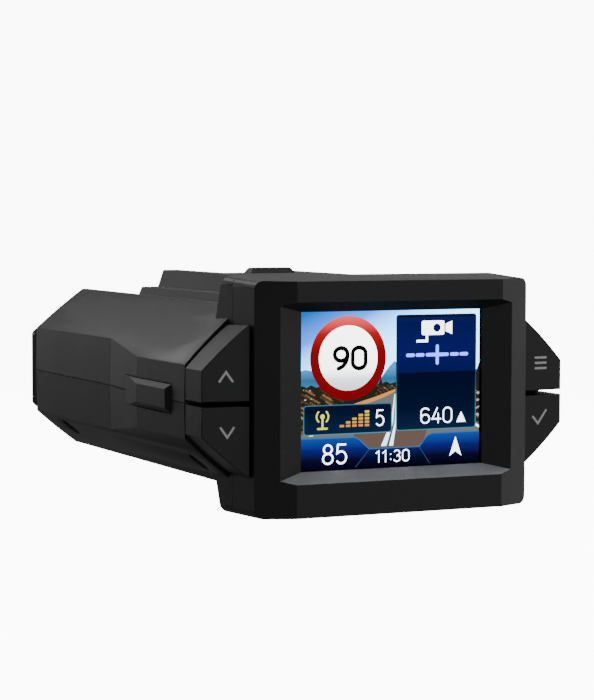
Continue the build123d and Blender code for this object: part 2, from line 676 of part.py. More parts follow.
with BuildPart() as horn_antenna:
    for y, width, height in (HORN_THROAT, HORN_MOUTH):
        with BuildSketch(across(y)):
            with Locations((0, HORN_Z)):
                Rectangle(width, height)
    loft(ruled=True)
    for y, width, height in (HORN_THROAT, HORN_MOUTH):
        with BuildSketch(across(y + 0.1)):
            with Locations((0, HORN_Z)):
                Rectangle(width - 2 * HORN_WALL, height - 2 * HORN_WALL)
    loft(ruled=True, mode=Mode.SUBTRACT)
    block((-12, 79.2, BOARD_TOP), (12, 83.5, 10.6))
    block((-6.5, 81.0, 2.8), (6.5, 84.5, 9.0), Mode.SUBTRACT)
save(horn_antenna, "horn_antenna")

with BuildPart() as gps_antenna:
    block((-12.5, 29.0, BOARD_TOP), (12.5, 54.0, BOARD_TOP + 4.0))
    block((-9.5, 32.0, BOARD_TOP + 4.0), (9.5, 51.0, BOARD_TOP + 4.1))
save(gps_antenna, "gps_antenna")

with BuildPart() as laser_sensor:
    block((LASER[0] - 2.3, 99.4, BOARD_TOP), (LASER[0] + 2.3, 103.6, 5.2))
    pegs([LASER], 1.9, 103.6, 105.6)
save(laser_sensor, "laser_sensor")

BASKET_R = 12.6
MAGNET_R = 7.0

with BuildPart() as speaker:
    posts([(0, GRILLE_Y)], SPEAKER_R, INNER_KEEL + 0.05, INNER_KEEL + 1.6)
    posts([(0, GRILLE_Y)], BASKET_R, INNER_KEEL + 1.6, INNER_KEEL + 3.2)
    posts([(0, GRILLE_Y)], MAGNET_R, INNER_KEEL + 3.2, INNER_KEEL + 6.4)
    posts([(0, GRILLE_Y)], BASKET_R - 0.2, INNER_KEEL, INNER_KEEL + 0.9, Mode.SUBTRACT)
save(speaker, "speaker")

CAPACITOR_R = 4.0
CAPACITOR_LONG = 13.0
CAPACITOR_LEFT = (-15.0, 2.0)        # left ends of the two

with BuildPart() as backup_capacitors:
    for x in CAPACITOR_LEFT:
        with BuildSketch(beside(x)):
            with Locations((88.0, BOARD_TOP - BOARD_THICK - CAPACITOR_R - 0.05)):
                Circle(CAPACITOR_R)
        extrude(amount=CAPACITOR_LONG)
    fillet(backup_capacitors.edges().filter_by(GeomType.CIRCLE), 0.5)
save(backup_capacitors, "backup_capacitors")

with BuildPart() as usb_port:
    block(USB_LOW, USB_HIGH)
    block((31.5, USB_LOW[1] + 0.4, USB_LOW[2] + 0.4), (40, USB_HIGH[1] - 0.4, USB_HIGH[2] - 0.4),
          Mode.SUBTRACT)
    block((31.0, USB_LOW[1] + 1.8, -0.45), (36.8, USB_HIGH[1] - 1.8, 0.35))
save(usb_port, "usb_port")

RIBBON = [(10.45, -6.5), (14.5, -6.5), (19.0, -1.9), (24.0, -1.9)]

with BuildPart() as display_ribbon:
    with BuildSketch(beside(-7)):
        with BuildLine():
            FilletPolyline(*RIBBON, radius=1.8)
        trace(line_width=0.2)
    extrude(amount=14)
save(display_ribbon, "display_ribbon")


# ---------------------------------------------------------------- bracket dock
def rail_section():
    """Solid section of the dock: step, sloped flanks and flat top."""
    with BuildLine() as outline:
        Polyline((0, ROOF_Z), (STEP_FOOT_HALF, ROOF_Z), (STEP_TOP_HALF, DOCK_FLOOR),
                 (RAIL_FOOT, DOCK_FLOOR), (RAIL_OUT, RAIL_TOP), (0, RAIL_TOP))
        mirror(about=Plane.YZ)
    make_face(outline.edges())


with BuildPart() as dock_plate:
    with BuildSketch(across(15)):
        rail_section()
    extrude(amount=15 - STEP_REAR)
    with BuildSketch(beside(-40)):
        with BuildLine():
            lean = FIT + COLLAR_TIP_Y
            Polyline((lean - COLLAR_LEAN * (ROOF_Z - COLLAR_TIP_Z), ROOF_Z),
                     (lean - COLLAR_LEAN * (RAIL_TOP + 1 - COLLAR_TIP_Z), RAIL_TOP + 1),
                     (DOCK_REAR, RAIL_TOP + 1), (DOCK_REAR, DOCK_FLOOR), (STEP_REAR, DOCK_FLOOR),
                     (STEP_REAR, ROOF_Z), close=True)
        make_face()
    extrude(amount=80, mode=Mode.INTERSECT)
    fillet(dock_plate.edges().filter_by(Axis.Y).group_by(Axis.Z)[-1], 0.3)
    with BuildSketch(across(CHANNEL_START)):
        with BuildLine():
            Polyline((0, DOCK_FLOOR), (SLOT_HALF, DOCK_FLOOR), (SLOT_HALF, LIP_UNDER), (RAIL_IN, LIP_UNDER),
                     (RAIL_IN, RAIL_TOP + 2), (0, RAIL_TOP + 2))
            mirror(about=Plane.YZ)
        make_face()
    extrude(amount=CHANNEL_START - DOCK_REAR - 1, mode=Mode.SUBTRACT)
    block((-7.6, PLATE_FRONT - 0.3, ROOF_Z - 1), (7.6, PLATE_REAR + 0.3, PLATE_TOP + FIT), Mode.SUBTRACT)
    block((-BUTTON_HALF - 0.2, BUTTON_Y - BUTTON_DEEP - 0.2, ROOF_Z),
          (BUTTON_HALF + 0.2, BUTTON_Y + BUTTON_DEEP + 0.2, 30), Mode.SUBTRACT)
    block((-4.3, TOOTH_Y - 2.2, ROOF_Z), (4.3, TOOTH_Y + 2.2, 30), Mode.SUBTRACT)
    for x in CONTACTS:
        block((x - 1.1, 72.0, DOCK_FLOOR - 0.25), (x + 1.1, 78.0, DOCK_FLOOR + 1), Mode.SUBTRACT)
    posts(DOCK_SCREWS, PILOT_R, ROOF_Z - 1, ROOF_Z + 2.2, Mode.SUBTRACT)
save(dock_plate, "dock_plate")

with BuildPart() as dock_contacts:
    for x in CONTACTS:
        block((x - 1.05, 72.05, DOCK_FLOOR - 0.25), (x + 1.05, 77.95, DOCK_FLOOR + 0.1))
save(dock_contacts, "dock_contacts")

with BuildPart() as release_latch:
    block((-7.2, PLATE_FRONT, PLATE_TOP - PLATE_THICK), (7.2, PLATE_REAR, PLATE_TOP))
    with BuildSketch(across(BUTTON_Y - BUTTON_DEEP)):
        with BuildLine():
            Polyline((0, PLATE_TOP - 0.5), (BUTTON_HALF, PLATE_TOP - 0.5), (BUTTON_HALF, RAIL_TOP),
                     (BUTTON_TOP_HALF, BUTTON_TOP), (0, BUTTON_TOP))
            mirror(about=Plane.YZ)
        make_face()
    extrude(amount=-2 * BUTTON_DEEP)
    fillet(release_latch.edges().filter_by(Axis.Y).group_by(Axis.Z)[-1], 0.6)
    for sign in (-1, 1):
        foot_y = BUTTON_Y + sign * BUTTON_DEEP
        tip_y = foot_y - sign * 2 * BUTTON_LEAN
        tip_z = 2 * BUTTON_TOP - RAIL_TOP
        with BuildSketch(beside(-BUTTON_HALF - 1)):
            with BuildLine():
                Polyline((foot_y, RAIL_TOP), (tip_y, tip_z), (foot_y, tip_z), close=True)
            make_face()
        extrude(amount=2 * BUTTON_HALF + 2, mode=Mode.SUBTRACT)
    with BuildSketch(beside(-4)):
        with BuildLine():
            Polyline((TOOTH_Y - 2, PLATE_TOP - 0.5), (TOOTH_Y - 2, DOCK_FLOOR + 1.2),
                     (TOOTH_Y - 0.9, DOCK_FLOOR + 1.2), (TOOTH_Y + 2, DOCK_FLOOR - 0.1),
                     (TOOTH_Y + 2, PLATE_TOP - 0.5), close=True)
        make_face()
    extrude(amount=8)
save(release_latch, "release_latch")

SPRING_R = 2.1
SPRING_WIRE = 0.3
SPRING_FOOT = CUP_FLOOR + CUP_WALL + SPRING_WIRE
SPRING_HIGH = PLATE_TOP - PLATE_THICK - SPRING_WIRE - SPRING_FOOT - 0.02

with BuildPart() as latch_spring:
    with BuildLine(Plane(origin=(0, SPRING_Y - DOCK_Y, SPRING_FOOT - DOCK_FLOOR))) as coil:
        Helix(pitch=SPRING_HIGH / 3.5, height=SPRING_HIGH, radius=SPRING_R)
    with BuildSketch(Plane(origin=coil.line @ 0, z_dir=coil.line % 0)):
        Circle(SPRING_WIRE)
    sweep(path=coil.line, is_frenet=True)
save(latch_spring, "latch_spring")


# ---------------------------------------------------------------- screws
def upright_screws(places, seat, length, head_below):
    """Pan-head screws along Z, with the head under or over the seat."""
    sign = 1 if head_below else -1
    low = min(seat, seat + sign * length)
    crown = seat - sign * HEAD_HIGH
    drive = sorted((seat - sign * (HEAD_HIGH - 0.7), crown - sign * 0.1))
    posts(places, SHANK_R, low, low + length)
    posts(places, HEAD_R, min(seat, crown), max(seat, crown))
    posts(places, DRIVE_R, *drive, Mode.SUBTRACT)


def level_screws(places, seat, length):
    """Pan-head screws along Y, driven towards the driver, with the head behind the seat."""
    pegs(places, SHANK_R, seat - length, seat)
    pegs(places, HEAD_R, seat, seat + HEAD_HIGH)
    pegs(places, DRIVE_R, seat + HEAD_HIGH - 0.7, seat + HEAD_HIGH + 0.1, Mode.SUBTRACT)


with BuildPart() as case_screws:
    upright_screws(CASE_SCREWS, SCREW_SEAT, 10.0, True)
save(case_screws, "case_screws")

with BuildPart() as board_screws:
    upright_screws(BOARD_SCREWS, BOARD_TOP, 7.0, False)
save(board_screws, "board_screws")

with BuildPart() as bezel_screws:
    level_screws(BEZEL_SCREWS, BEZEL_SEAT, 5.0)
save(bezel_screws, "bezel_screws")

with BuildPart() as display_screws:
    level_screws(DISPLAY_SCREWS, DISPLAY_BOARD_Y + DISPLAY_SHEET, 3.0)
save(display_screws, "display_screws")

with BuildPart() as collar_screws:
    level_screws(COLLAR_SCREWS, INNER_FRONT, 5.0)
save(collar_screws, "collar_screws")

with BuildPart() as dock_screws:
    upright_screws(DOCK_SCREWS, INNER_ROOF, 3.6, True)
save(dock_screws, "dock_screws")
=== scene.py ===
"""Looks of the radar detector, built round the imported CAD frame.

Lengths are millimetres, but for those marked as metres.
"""

import json
import math

import bpy
from mathutils import Matrix, Vector


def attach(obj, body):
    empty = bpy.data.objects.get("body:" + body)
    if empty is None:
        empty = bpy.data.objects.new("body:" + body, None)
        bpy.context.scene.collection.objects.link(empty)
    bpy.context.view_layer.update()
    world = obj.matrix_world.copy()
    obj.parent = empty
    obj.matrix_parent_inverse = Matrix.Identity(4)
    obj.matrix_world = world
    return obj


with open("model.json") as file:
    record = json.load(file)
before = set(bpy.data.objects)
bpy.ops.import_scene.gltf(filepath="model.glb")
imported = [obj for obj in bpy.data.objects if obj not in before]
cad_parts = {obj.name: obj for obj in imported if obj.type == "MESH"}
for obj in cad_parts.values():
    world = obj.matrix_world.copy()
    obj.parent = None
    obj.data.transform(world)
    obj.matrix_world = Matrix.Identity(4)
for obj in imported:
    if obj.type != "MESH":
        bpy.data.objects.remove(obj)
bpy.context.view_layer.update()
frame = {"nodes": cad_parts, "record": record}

# ---------------------------------------------------------------- frame of the part
DOCK_Y = 81.5            # the row's origin, seen from the bezel's front
DOCK_FLOOR = 19.7        # and from the level between the keys
SCREEN_HALF = 20.4
SCREEN_TOP = 17.76
SCREEN_BOTTOM = -13.81


def place(x, y, z):
    """Row position of a point given from the bezel's front and the level between the keys."""
    return Vector((x / 1000, (y - DOCK_Y) / 1000, (z - DOCK_FLOOR) / 1000))


# ---------------------------------------------------------------- materials
CLOUD_SCALE = 60.0       # slow mottling of colour and gloss
CLOUD_DETAIL = 3.0
GRAIN_DETAIL = 2.0
GRAIN_HEIGHT = 0.0004    # metres
GLOSS_RANGE = 0.04       # how far the roughness varies each way
LEAST_ROUGH = 0.02
HIGHLIGHT_START = 0.975      # cosines between which a bevel's painted highlight sets in
HIGHLIGHT_FULL = 0.99


def new_material(name):
    """Material with its nodes, its links and its Principled shader."""
    mat = bpy.data.materials.new(name)
    mat.use_nodes = True
    return mat, mat.node_tree.nodes, mat.node_tree.links, mat.node_tree.nodes["Principled BSDF"]


def grained(name, colour, rough, grain=1500.0, depth=0.04, specular=0.35, spread=0.12, metallic=0.0):
    """Moulded or cast surface: a fine bump, with colour and gloss that vary a little."""
    mat, nodes, links, bsdf = new_material(name)
    bsdf.inputs["Specular IOR Level"].default_value = specular
    bsdf.inputs["Metallic"].default_value = metallic
    coords = nodes.new("ShaderNodeTexCoord")
    cloud = nodes.new("ShaderNodeTexNoise")
    cloud.inputs["Scale"].default_value = CLOUD_SCALE
    cloud.inputs["Detail"].default_value = CLOUD_DETAIL
    links.new(coords.outputs["Object"], cloud.inputs["Vector"])
    mix = nodes.new("ShaderNodeMix")
    mix.data_type = "RGBA"
    dark = [c * (1 - spread) for c in colour]
    light = [min(1.0, c * (1 + spread)) for c in colour]
    mix.inputs["A"].default_value = (*dark, 1)
    mix.inputs["B"].default_value = (*light, 1)
    links.new(cloud.outputs["Fac"], mix.inputs["Factor"])
    links.new(mix.outputs["Result"], bsdf.inputs["Base Color"])
    ramp = nodes.new("ShaderNodeMapRange")
    ramp.inputs["To Min"].default_value = max(LEAST_ROUGH, rough - GLOSS_RANGE)
    ramp.inputs["To Max"].default_value = min(1.0, rough + GLOSS_RANGE)
    links.new(cloud.outputs["Fac"], ramp.inputs["Value"])
    links.new(ramp.outputs["Result"], bsdf.inputs["Roughness"])
    fine = nodes.new("ShaderNodeTexNoise")
    fine.inputs["Scale"].default_value = grain
    fine.inputs["Detail"].default_value = GRAIN_DETAIL
    links.new(coords.outputs["Object"], fine.inputs["Vector"])
    bump = nodes.new("ShaderNodeBump")
    bump.inputs["Strength"].default_value = depth
    bump.inputs["Distance"].default_value = GRAIN_HEIGHT
    links.new(fine.outputs["Fac"], bump.inputs["Height"])
    links.new(bump.outputs["Normal"], bsdf.inputs["Normal"])
    return mat


def painted_bevel_highlight(mat, facing, colour):
    """Paint a highlight into a moulded material: a paler colour on the faces that look one way, such as a
    bevel.
    """
    nodes, links = mat.node_tree.nodes, mat.node_tree.links
    bsdf = nodes["Principled BSDF"]
    body = bsdf.inputs["Base Color"].links[0].from_socket
    coords = nodes.new("ShaderNodeTexCoord")
    aim = nodes.new("ShaderNodeVectorMath")
    aim.operation = "DOT_PRODUCT"
    aim.inputs[1].default_value = facing
    links.new(coords.outputs["Normal"], aim.inputs[0])
    mask = nodes.new("ShaderNodeMapRange")
    mask.inputs["From Min"].default_value = HIGHLIGHT_START
    mask.inputs["From Max"].default_value = HIGHLIGHT_FULL
    links.new(aim.outputs["Value"], mask.inputs["Value"])
    mix = nodes.new("ShaderNodeMix")
    mix.data_type = "RGBA"
    mix.inputs["B"].default_value = (*colour, 1)
    links.new(mask.outputs["Result"], mix.inputs["Factor"])
    links.new(body, mix.inputs["A"])
    links.new(mix.outputs["Result"], bsdf.inputs["Base Color"])
    return mat


def printed(name, colour, rough=0.55):
    """Pad-printed ink."""
    mat, _, _, bsdf = new_material(name)
    bsdf.inputs["Base Color"].default_value = (*colour, 1)
    bsdf.inputs["Roughness"].default_value = rough
    bsdf.inputs["Specular IOR Level"].default_value = 0.3
    return mat


def lit(name, colour):
    """Part of the display picture that shines in one colour, given as radiance."""
    mat, _, _, bsdf = new_material(name)
    strength = max(1.0, *colour)
    bsdf.inputs["Base Color"].default_value = (0.0, 0.0, 0.0, 1)
    bsdf.inputs["Roughness"].default_value = 0.4
    bsdf.inputs["Specular IOR Level"].default_value = 0.0
    bsdf.inputs["Emission Color"].default_value = (*[c / strength for c in colour], 1)
    bsdf.inputs["Emission Strength"].default_value = strength
    return mat


def lit_ramp(name, stops, low, high, lean=0.0):
    """Part of the picture whose colour changes with height, or with height and distance to the left."""
    mat, nodes, links, bsdf = new_material(name)
    strength = max(1.0, *[c for _, colour in stops for c in colour])
    bsdf.inputs["Base Color"].default_value = (0.0, 0.0, 0.0, 1)
    bsdf.inputs["Specular IOR Level"].default_value = 0.0
    bsdf.inputs["Emission Strength"].default_value = strength
    coords = nodes.new("ShaderNodeTexCoord")
    along = nodes.new("ShaderNodeVectorMath")
    along.operation = "DOT_PRODUCT"
    along.inputs[1].default_value = (-lean, 0.0, 1.0)
    links.new(coords.outputs["Object"], along.inputs[0])
    scale = nodes.new("ShaderNodeMapRange")
    scale.inputs["From Min"].default_value = (low - DOCK_FLOOR) / 1000
    scale.inputs["From Max"].default_value = (high - DOCK_FLOOR) / 1000
    links.new(along.outputs["Value"], scale.inputs["Value"])
    ramp = nodes.new("ShaderNodeValToRGB")
    while len(ramp.color_ramp.elements) < len(stops):
        ramp.color_ramp.elements.new(0.5)
    for element, (at, colour) in zip(ramp.color_ramp.elements, stops):
        element.position = at
        element.color = (*[c / strength for c in colour], 1)
    links.new(scale.outputs["Result"], ramp.inputs["Fac"])
    links.new(ramp.outputs["Color"], bsdf.inputs["Emission Color"])
    return mat


PLASTIC = (0.017, 0.0175, 0.018)
BEVEL_FACING = (0.0, -0.472, 0.881)      # up and toward the driver
# colour of the painted highlight mixed into the bevel
BEVEL_HIGHLIGHT_PAINT = (0.42, 0.43, 0.44)
MATERIALS = {
    "case_plastic": grained("case_plastic", PLASTIC, 0.42),
    # painted highlight on head_plastic: faces that look up and toward the driver, such as the recess's
    # lower bevel, are painted paler
    "head_plastic": painted_bevel_highlight(grained("head_plastic", PLASTIC, 0.42), BEVEL_FACING, BEVEL_HIGHLIGHT_PAINT),
    "key_plastic": grained("key_plastic", PLASTIC, 0.40),
    "dock_plastic": grained("dock_plastic", PLASTIC, 0.42),
    "window_gloss": grained("window_gloss", (0.008, 0.008, 0.009), 0.08, depth=0.0, specular=0.08,
                            spread=0.0),
    "lcd_module": grained("lcd_module", (0.010, 0.012, 0.018), 0.20, depth=0.0, spread=0.0),
    "steel_frame": grained("steel_frame", (0.52, 0.53, 0.54), 0.30, grain=900, depth=0.05,
                           metallic=1.0),
    "circuit_board": grained("circuit_board", (0.012, 0.085, 0.035), 0.35, grain=700, depth=0.10,
                             specular=0.5),
    "switch_body": grained("switch_body", (0.012, 0.012, 0.012), 0.45),
    "tin_shield": grained("tin_shield", (0.60, 0.60, 0.57), 0.32, grain=500, depth=0.05, metallic=1.0),
    "die_cast": grained("die_cast", (0.50, 0.51, 0.52), 0.48, grain=800, depth=0.15, metallic=1.0),
    "ceramic": grained("ceramic", (0.55, 0.47, 0.34), 0.50),
    "lens": grained("lens", (0.03, 0.003, 0.006), 0.05, depth=0.0, specular=0.6, spread=0.0),
    "speaker_cone": grained("speaker_cone", (0.015, 0.015, 0.015), 0.50),
    "capacitor_sleeve": grained("capacitor_sleeve", (0.006, 0.008, 0.030), 0.25, depth=0.02),
    "flex_film": grained("flex_film", (0.30, 0.11, 0.012), 0.28, depth=0.02),
    "contact_gold": grained("contact_gold", (0.80, 0.55, 0.18), 0.22, grain=900, depth=0.03,
                            metallic=1.0),
    "spring_steel": grained("spring_steel", (0.55, 0.55, 0.55), 0.25, grain=900, depth=0.03,
                            metallic=1.0),
    "screw_steel": grained("screw_steel", (0.16, 0.16, 0.17), 0.35, grain=900, depth=0.05,
                           metallic=1.0),
}


WINDOW_ROUGH = 0.25
WINDOW_SHINE = 0.003     # weight of the reflection against the clear view


def clear_window():
    """Hard-coated window: clear, with a faint reflection."""
    mat = bpy.data.materials.new("screen_glass")
    mat.use_nodes = True
    nodes, links = mat.node_tree.nodes, mat.node_tree.links
    nodes.clear()
    out = nodes.new("ShaderNodeOutputMaterial")
    clear = nodes.new("ShaderNodeBsdfTransparent")
    shine = nodes.new("ShaderNodeBsdfGlossy")
    shine.inputs["Roughness"].default_value = WINDOW_ROUGH
    shine.inputs["Color"].default_value = (0.8, 0.85, 0.9, 1)
    mix = nodes.new("ShaderNodeMixShader")
    mix.inputs["Fac"].default_value = WINDOW_SHINE
    links.new(clear.outputs["BSDF"], mix.inputs[1])
    links.new(shine.outputs["BSDF"], mix.inputs[2])
    links.new(mix.outputs["Shader"], out.inputs["Surface"])
    return mat


MATERIALS["screen_glass"] = clear_window()

# ---------------------------------------------------------------- CAD nodes
SLOT_OF = {row["node"]: row["material_slot"] for row in frame["record"]["subparts"]}
BEVELS = {               # width of the rounding on a moulding's sharp edges
    "front_bezel": 0.25, "head_collar": 0.25, "upper_case": 0.22, "lower_case": 0.22, "dock_plate": 0.25,
    "side_key": 0.12, "rear_window": 0.25,
}
WELD_DISTANCE = 1e-6     # metres
FLAT_ANGLE = 0.4         # degrees between faces that count as one
SHARP_ANGLE = 24         # degrees from which an edge is rounded

for node, obj in frame["nodes"].items():
    obj.data.materials.clear()
    obj.data.materials.append(MATERIALS[SLOT_OF[node]])
    weld = obj.modifiers.new("weld", "WELD")
    weld.merge_threshold = WELD_DISTANCE
    if node in BEVELS:
        flatten = obj.modifiers.new("flatten", "DECIMATE")
        flatten.decimate_type = "DISSOLVE"
        flatten.angle_limit = math.radians(FLAT_ANGLE)
        bevel = obj.modifiers.new("bevel", "BEVEL")
        bevel.width = BEVELS[node] / 1000
        bevel.segments = 2
        bevel.limit_method = "ANGLE"
        bevel.angle_limit = math.radians(SHARP_ANGLE)
        bevel.use_clamp_overlap = True
        bevel.harden_normals = True
    else:
        even = obj.modifiers.new("even", "WEIGHTED_NORMAL")
        even.mode = "FACE_AREA"
        even.weight = 100
        even.keep_sharp = True


# ---------------------------------------------------------------- flat drawing helpers
MITRE_LIMIT = 0.35       # least cosine at a corner, which keeps its point short
CAP_STEP = 18            # degrees between the points of a round end
COLON_ADVANCE = 0.42     # a sign's step to the next, over its height and before any squeeze
ONE_ADVANCE = 0.58
COLON_SHIFT = -0.12
JOINED = 1e-6            # ends of a closed stroke that fall together


def flat_piece(name, polygons, origin, right, up, material, body):
    """Mesh of flat polygons, drawn in millimetres on a plane given in the row frame."""
    verts, faces = [], []
    for polygon in polygons:
        start = len(verts)
        verts += [origin + right * (a / 1000) + up * (b / 1000) for a, b in polygon]
        faces.append(tuple(range(start, len(verts))))
    mesh = bpy.data.meshes.new(name)
    mesh.from_pydata(verts, [], faces)
    normal = right.cross(up)
    for face in mesh.polygons:
        if face.normal.dot(normal) < 0:
            face.flip()
    mesh.materials.append(material)
    obj = bpy.data.objects.new(name, mesh)
    bpy.context.scene.collection.objects.link(obj)
    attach(obj, body)
    return obj


def ribbon(points, width, closed=False, caps=True):
    """Quads of a stroke along points, mitred at the corners and rounded at the ends."""
    pts = [Vector(p) for p in points]
    count = len(pts)
    sides = []
    for i, p in enumerate(pts):
        before = pts[(i - 1) % count] if closed or i > 0 else None
        after = pts[(i + 1) % count] if closed or i < count - 1 else None
        d0 = (p - before).normalized() if before is not None else (after - p).normalized()
        d1 = (after - p).normalized() if after is not None else d0
        n0 = Vector((-d0.y, d0.x))
        n1 = Vector((-d1.y, d1.x))
        m = (n0 + n1).normalized()
        reach = width / 2 / max(MITRE_LIMIT, m.dot(n0))
        sides.append((p + m * reach, p - m * reach))
    polygons = []
    last = count if closed else count - 1
    for i in range(last):
        a, b = sides[i], sides[(i + 1) % count]
        polygons.append([tuple(a[0]), tuple(b[0]), tuple(b[1]), tuple(a[1])])
    if caps and not closed:
        for end, inner in ((pts[0], pts[1]), (pts[-1], pts[-2])):
            away = (end - inner).normalized()
            base = math.atan2(away.y, away.x)
            polygons.append([
                (end.x + width / 2 * math.cos(base + math.radians(t)),
                 end.y + width / 2 * math.sin(base + math.radians(t)))
                for t in range(-90, 91, CAP_STEP)])
    return polygons


def arc(cx, cy, rx, ry, start, end, steps=16):
    """Points on an ellipse, angles in degrees."""
    return [(cx + rx * math.cos(math.radians(start + (end - start) * i / steps)),
             cy + ry * math.sin(math.radians(start + (end - start) * i / steps))) for i in range(steps + 1)]


def rounded(x0, y0, x1, y1, r, steps=5):
    """Rectangle with round corners as one polygon."""
    out = []
    for cx, cy, a in ((x1 - r, y1 - r, 0), (x0 + r, y1 - r, 90),
                      (x0 + r, y0 + r, 180), (x1 - r, y0 + r, 270)):
        out += arc(cx, cy, r, r, a, a + 90, steps)
    return out


def digit(char):
    """Strokes of a digit in a cell one unit high and 0.56 wide, as (points, closed)."""
    w, m = 0.56, 0.28
    return {
        "0": [(arc(m, 0.72, m, 0.28, 0, 180) + arc(m, 0.28, m, 0.28, 180, 360), True)],
        "1": [([(0.06, 0.80), (0.30, 1.0), (0.30, 0.0)], False)],
        "3": [(arc(m, 0.76, 0.24, 0.24, 150, -80) + arc(m, 0.27, 0.28, 0.27, 80, -150), False)],
        "4": [([(0.34, 1.0), (0.0, 0.26), (w, 0.26)], False), ([(0.40, 0.62), (0.40, 0.0)], False)],
        "5": [([(0.50, 1.0), (0.08, 1.0), (0.04, 0.55)] + arc(0.26, 0.32, 0.29, 0.32, 120, -140), False)],
        "6": [(arc(m, 0.74, 0.28, 0.26, 35, 180, 8) + [(0.0, 0.30)], False),
              (arc(m, 0.29, m, 0.29, 0, 360), True)],
        "8": [(arc(m, 0.77, 0.23, 0.23, -90, 270), True), (arc(m, 0.27, m, 0.27, 90, 450), True)],
        "9": [(arc(m, 0.69, m, 0.31, 0, 360), True), (arc(0.06, 0.66, 0.50, 0.66, 0, -78, 10), False)],
        ":": [([(m, 0.20), (m, 0.22)], False), ([(m, 0.66), (m, 0.68)], False)],
    }[char]


def number(text, x, y, height, weight, pitch=0.74, squeeze=1.0):
    """Polygons of a number whose lower left corner is at x, y."""
    polygons = []
    pen = x
    for char in text:
        advance = COLON_ADVANCE if char == ":" else (ONE_ADVANCE if char == "1" else pitch)
        for points, closed in digit(char):
            shift = COLON_SHIFT if char == ":" else 0.0
            placed = [(pen + (px + shift) * height * squeeze, y + py * height) for px, py in points]
            if closed:
                placed = placed[:-1] if (Vector(placed[0]) - Vector(placed[-1])).length < JOINED else placed
            polygons += ribbon(placed, weight, closed)
        pen += advance * height * squeeze
    return polygons


# ---------------------------------------------------------------- display picture
PICTURE_Y = 4.895        # plane that the picture's layers are counted from
LAYER = 0.004            # step between the picture's layers
SCREEN_W = 2 * SCREEN_HALF
SCREEN_H = SCREEN_TOP - SCREEN_BOTTOM
layers = {"count": 0}


def picture(name, polygons, material):
    """One layer of the picture, drawn in millimetres from the screen's lower left corner."""
    layers["count"] += 1
    depth = PICTURE_Y - LAYER * layers["count"]
    origin = place(-SCREEN_HALF, depth, SCREEN_BOTTOM)
    obj = flat_piece(name, polygons, origin, Vector((1, 0, 0)), Vector((0, 0, 1)), material,
                     "housing")
    obj.visible_glossy = False
    return obj


WHITE = lit("picture_white", (4.2, 4.5, 5.0))
BLACK = lit("picture_black", (0.0017, 0.0017, 0.0021))
TEAL = (0.083, 0.322, 0.430)
sky = lit_ramp("picture_sky", [(0.0, (1.30, 4.20, 6.60)), (0.28, (0.74, 2.69, 5.47)),
                               (0.62, (0.07, 0.60, 2.30)), (1.0, (0.0, 0.20, 0.95))], 10.0, 25.0, lean=0.42)
ground = lit_ramp("picture_ground", [(0.0, (0.12, 0.11, 0.09)), (0.6, (0.16, 0.10, 0.055)),
                                     (1.0, (0.08, 0.055, 0.026))], -13.8, 4.0)
picture("picture_sky_face", [[(0, 14), (SCREEN_W, 14), (SCREEN_W, SCREEN_H), (0, SCREEN_H)]], sky)
picture("picture_ground_face", [[(0, 0), (SCREEN_W, 0), (SCREEN_W, 16.5), (0, 16.5)]], ground)
hills = lit_ramp("picture_hills", [(0.0, (0.06, 0.30, 0.62)), (0.5, (0.03, 0.20, 0.42)),
                                   (1.0, (0.10, 0.45, 1.0))], 1.8, 6.4)
picture("picture_hills_face", [
    [(0, 16.2), (0, 19.7), (1.4, 20.1), (3.0, 19.8), (5.2, 18.2), (7.5, 17.0), (7.5, 16.2)],
    [(16.5, 16.2), (18.2, 18.0), (20.0, 20.2), (21.3, 21.4), (22.4, 20.4), (24.0, 18.9), (30, 18.0),
     (38.5, 18.2), (SCREEN_W, 19.6), (SCREEN_W, 16.2)]], hills)
bush = lit("picture_bush", (0.020, 0.021, 0.014))
picture("picture_scrub", [
    [(0, 8.0), (0, 16.7), (0.9, 16.9), (1.8, 16.5), (2.7, 17.0), (3.9, 16.5), (5.2, 16.9), (7.0, 16.6),
     (10.0, 16.0), (16.6, 16.1), (17.2, 17.2), (17.7, 16.8), (18.2, 18.1), (18.6, 16.9), (19.4, 17.3),
     (20.3, 16.8), (22.0, 17.2), (22.0, 15.2), (17.0, 13.2), (12.0, 12.0), (4.0, 8.0)],
    [(39.6, 8.5), (39.6, 16.6), (40.0, 18.4), (40.4, 19.6), (SCREEN_W, 20.6), (SCREEN_W, 8.5)]], bush)


X_STEP = 0.618034        # parts of the width and height by which each fleck moves on
Y_STEP = 0.754878
SIZE_STEP = 0.37
TURN_STEP = 1.3          # radians
FLECK_WIDE = 1.4         # a fleck's width over its height


def scatter(count, x0, x1, y0, y1, size, shift):
    """Small angular flecks spread evenly over a rectangle."""
    flecks = []
    for i in range(count):
        cx = x0 + (x1 - x0) * ((i * X_STEP + shift) % 1.0)
        cy = y0 + (y1 - y0) * ((i * Y_STEP + shift) % 1.0)
        r = size * (0.6 + 0.8 * ((i * SIZE_STEP + shift) % 1.0))
        turn = i * TURN_STEP
        flecks.append([(cx + FLECK_WIDE * r * math.cos(turn + a), cy + r * math.sin(turn + a))
                       for a in (0.2, 1.5, 2.9, 4.4)])
    return flecks


